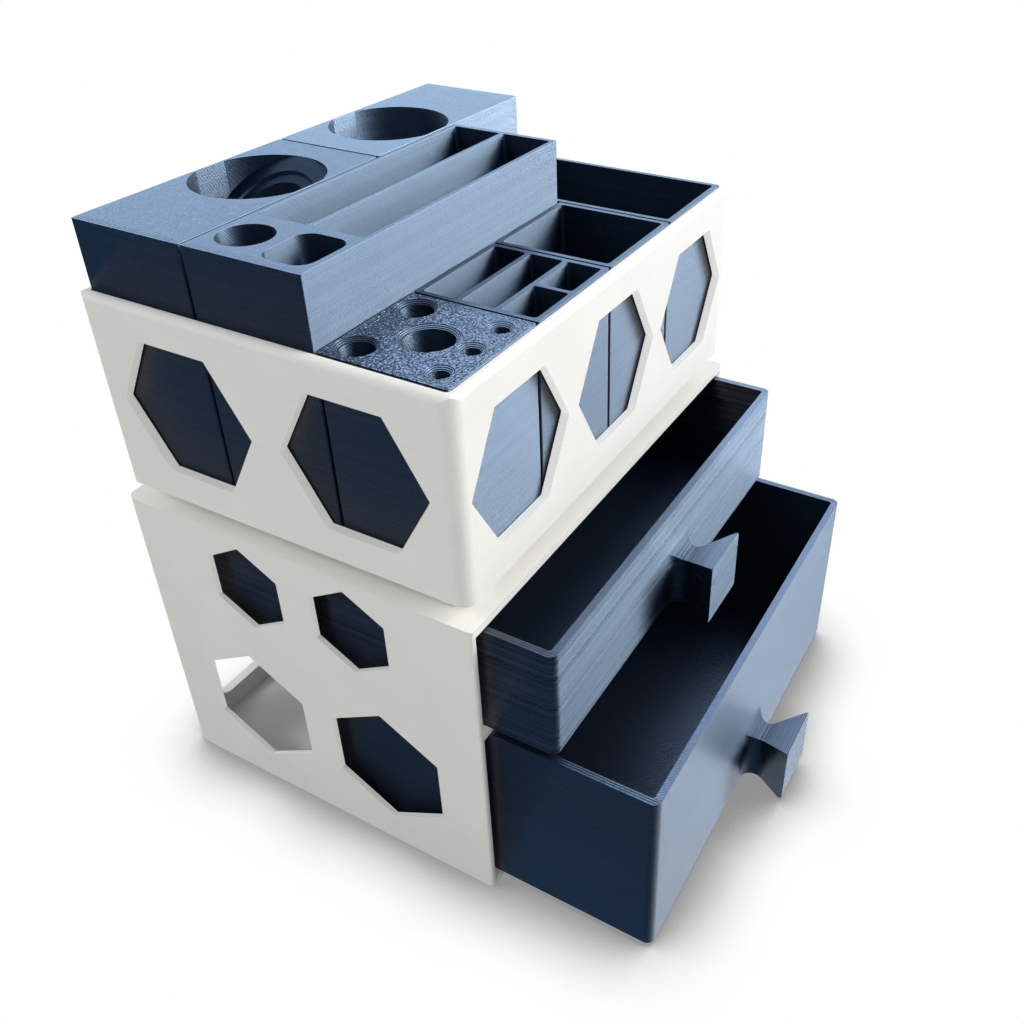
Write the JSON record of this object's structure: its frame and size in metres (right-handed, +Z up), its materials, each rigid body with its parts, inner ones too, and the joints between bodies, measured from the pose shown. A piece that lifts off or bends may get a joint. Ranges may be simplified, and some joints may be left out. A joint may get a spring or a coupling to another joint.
{
  "type": "hobby workstation organizer",
  "caption": "Desktop organizer: a drawer chest with hexagonal windows and, standing on it, a windowed crate of lift-out blocks with bores, slots and compartments.",
  "frame": {"origin": "middle of the chest's underside", "axes": "+Z up, the drawers open towards -Y, +X to the right of someone who faces the drawers"},
  "size_m": [0.126, 0.1487, 0.1487],
  "materials": {
    "ivory_print": "matte, fine print layers",
    "navy_print": "matte, fine print layers"
  },
  "bodies": {
    "chest": {"chest_shell": "ivory_print"},
    "upper_drawer": {"upper_drawer": "navy_print"},
    "lower_drawer": {"lower_drawer": "navy_print"},
    "crate": {"crate": "ivory_print", "crate_feet": "ivory_print"},
    "stepped_bottle_block": {"stepped_bottle_block": "navy_print"},
    "plain_bottle_block": {"plain_bottle_block": "navy_print"},
    "pen_block": {"pen_block": "navy_print"},
    "tool_hole_block": {"tool_hole_block": "navy_print"},
    "divider_box": {"divider_box": "navy_print"},
    "small_box": {"small_box": "navy_print"},
    "long_box": {"long_box": "navy_print"}
  },
  "joints": [
    {"name": "upper_drawer_slide", "type": "slide", "parent": "chest", "child": "upper_drawer", "axis": [0, -1, 0], "range_m": [-0.0163, 0.0677]},
    {"name": "lower_drawer_slide", "type": "slide", "parent": "chest", "child": "lower_drawer", "axis": [0, -1, 0], "range_m": [-0.0397, 0.0443]},
    {"name": "crate_lift", "type": "slide", "parent": "chest", "child": "crate", "axis": [0, 0, 1], "range_m": [0, 0.03]},
    {"name": "stepped_bottle_block_lift", "type": "slide", "parent": "crate", "child": "stepped_bottle_block", "axis": [0, 0, 1], "range_m": [0, 0.05]},
    {"name": "plain_bottle_block_lift", "type": "slide", "parent": "crate", "child": "plain_bottle_block", "axis": [0, 0, 1], "range_m": [0, 0.05]},
    {"name": "pen_block_lift", "type": "slide", "parent": "crate", "child": "pen_block", "axis": [0, 0, 1], "range_m": [0, 0.05]},
    {"name": "tool_hole_block_lift", "type": "slide", "parent": "crate", "child": "tool_hole_block", "axis": [0, 0, 1], "range_m": [0, 0.05]},
    {"name": "divider_box_lift", "type": "slide", "parent": "crate", "child": "divider_box", "axis": [0, 0, 1], "range_m": [0, 0.05]},
    {"name": "small_box_lift", "type": "slide", "parent": "crate", "child": "small_box", "axis": [0, 0, 1], "range_m": [0, 0.05]},
    {"name": "long_box_lift", "type": "slide", "parent": "crate", "child": "long_box", "axis": [0, 0, 1], "range_m": [0, 0.05]}
  ]
}
